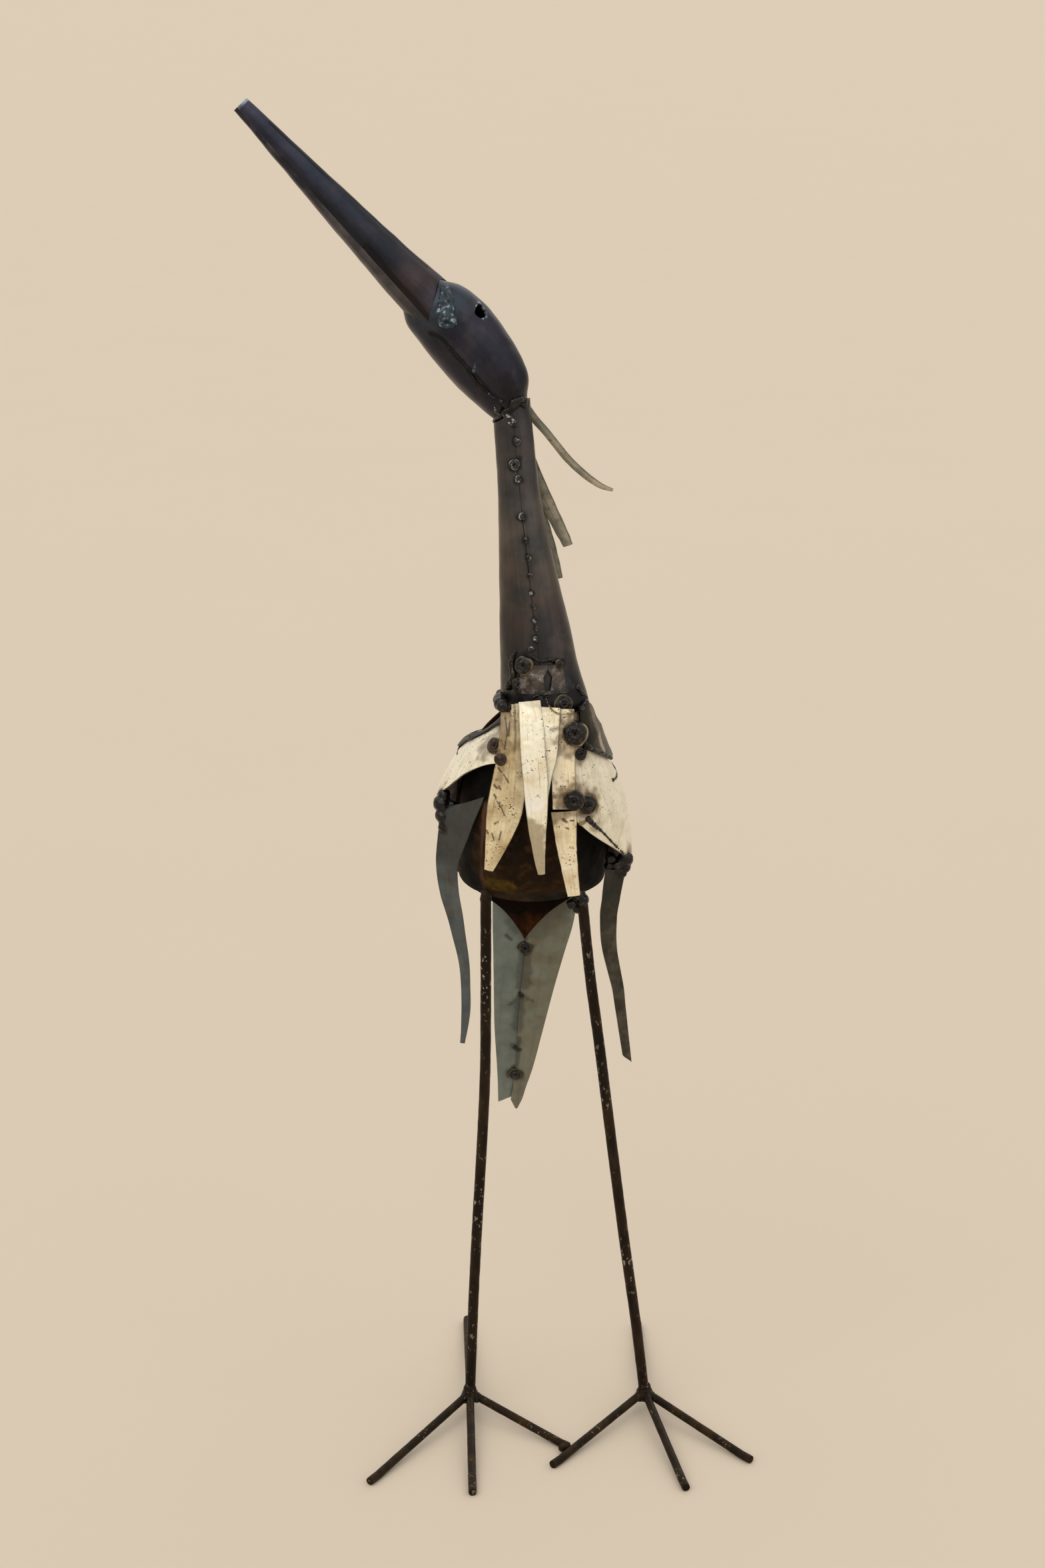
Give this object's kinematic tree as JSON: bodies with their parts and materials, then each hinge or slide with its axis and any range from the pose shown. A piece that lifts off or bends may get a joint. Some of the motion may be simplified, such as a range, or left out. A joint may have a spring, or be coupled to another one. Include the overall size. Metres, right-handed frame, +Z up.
{
  "type": "heron sculpture",
  "caption": "Standing heron of welded sheet metal on rod legs, head and beak raised, with feather strips at the chest and tail.",
  "frame": {"origin": "on the floor, under the middle of the heron's bounding box", "axes": "+Z up, the breast faces -Y, the beak is raised towards -X"},
  "size_m": [0.459, 0.3574, 1.2584],
  "materials": {
    "neck": "rolled sheet steel, heat-tinted brown and olive, semi-gloss, dark welds",
    "head": "sheet steel blued by heat, semi-gloss",
    "beak": "folded sheet steel, slate blue with a purple-brown root, semi-gloss",
    "plumes": "cut strip, grey-green, dull lacquer",
    "belly": "dished sheet steel, rust brown, matt",
    "back": "dished sheet steel, dark outside and rust orange inside, matt",
    "chest_feathers": "cream-gold lacquered tin, sooty at the welds, flecked and scuffed",
    "wings": "cream lacquered tin, greenish on the right, dark welded tips",
    "shoulders": "sheet darkened by soot and heat, cream at its edge",
    "throat_patch": "creased grey-mauve sheet, semi-gloss, sooty edges",
    "wing_plumes": "blue-grey and dark green sheet strips, satin",
    "tail": "galvanised sheet, dull, with soot rings round the tacks",
    "legs": "round rod, dark oiled brown, satin, pale flecks",
    "toes": "round rod, olive brown, satin"
  },
  "bodies": {
    "root": {"neck": "neck", "head_crown": "head", "head_jaw": "head", "beak_upper": "beak", "beak_lower": "beak", "crest_plume": "plumes", "neck_plume_upper": "plumes", "neck_plume_lower": "plumes", "belly_shell": "belly", "back_shell": "back", "chest_feather_right_upper": "chest_feathers", "chest_feather_behind": "chest_feathers", "chest_feather_left": "chest_feathers", "chest_feather_middle": "chest_feathers", "chest_feather_right_lower": "chest_feathers", "wing_left": "wings", "wing_right": "wings", "shoulder_left": "shoulders", "shoulder_right": "shoulders", "throat_patch": "throat_patch", "wing_plume_left": "wing_plumes", "wing_plume_right": "wing_plumes", "tail_leaf_left": "tail", "tail_leaf_right": "tail", "leg_left": "legs", "leg_right": "legs", "toe_left_outer": "toes", "toe_left_middle": "toes", "toe_left_inner": "toes", "toe_left_back": "toes", "toe_right_outer": "toes", "toe_right_middle": "toes", "toe_right_inner": "toes", "toe_right_back": "toes"}
  },
  "joints": []
}
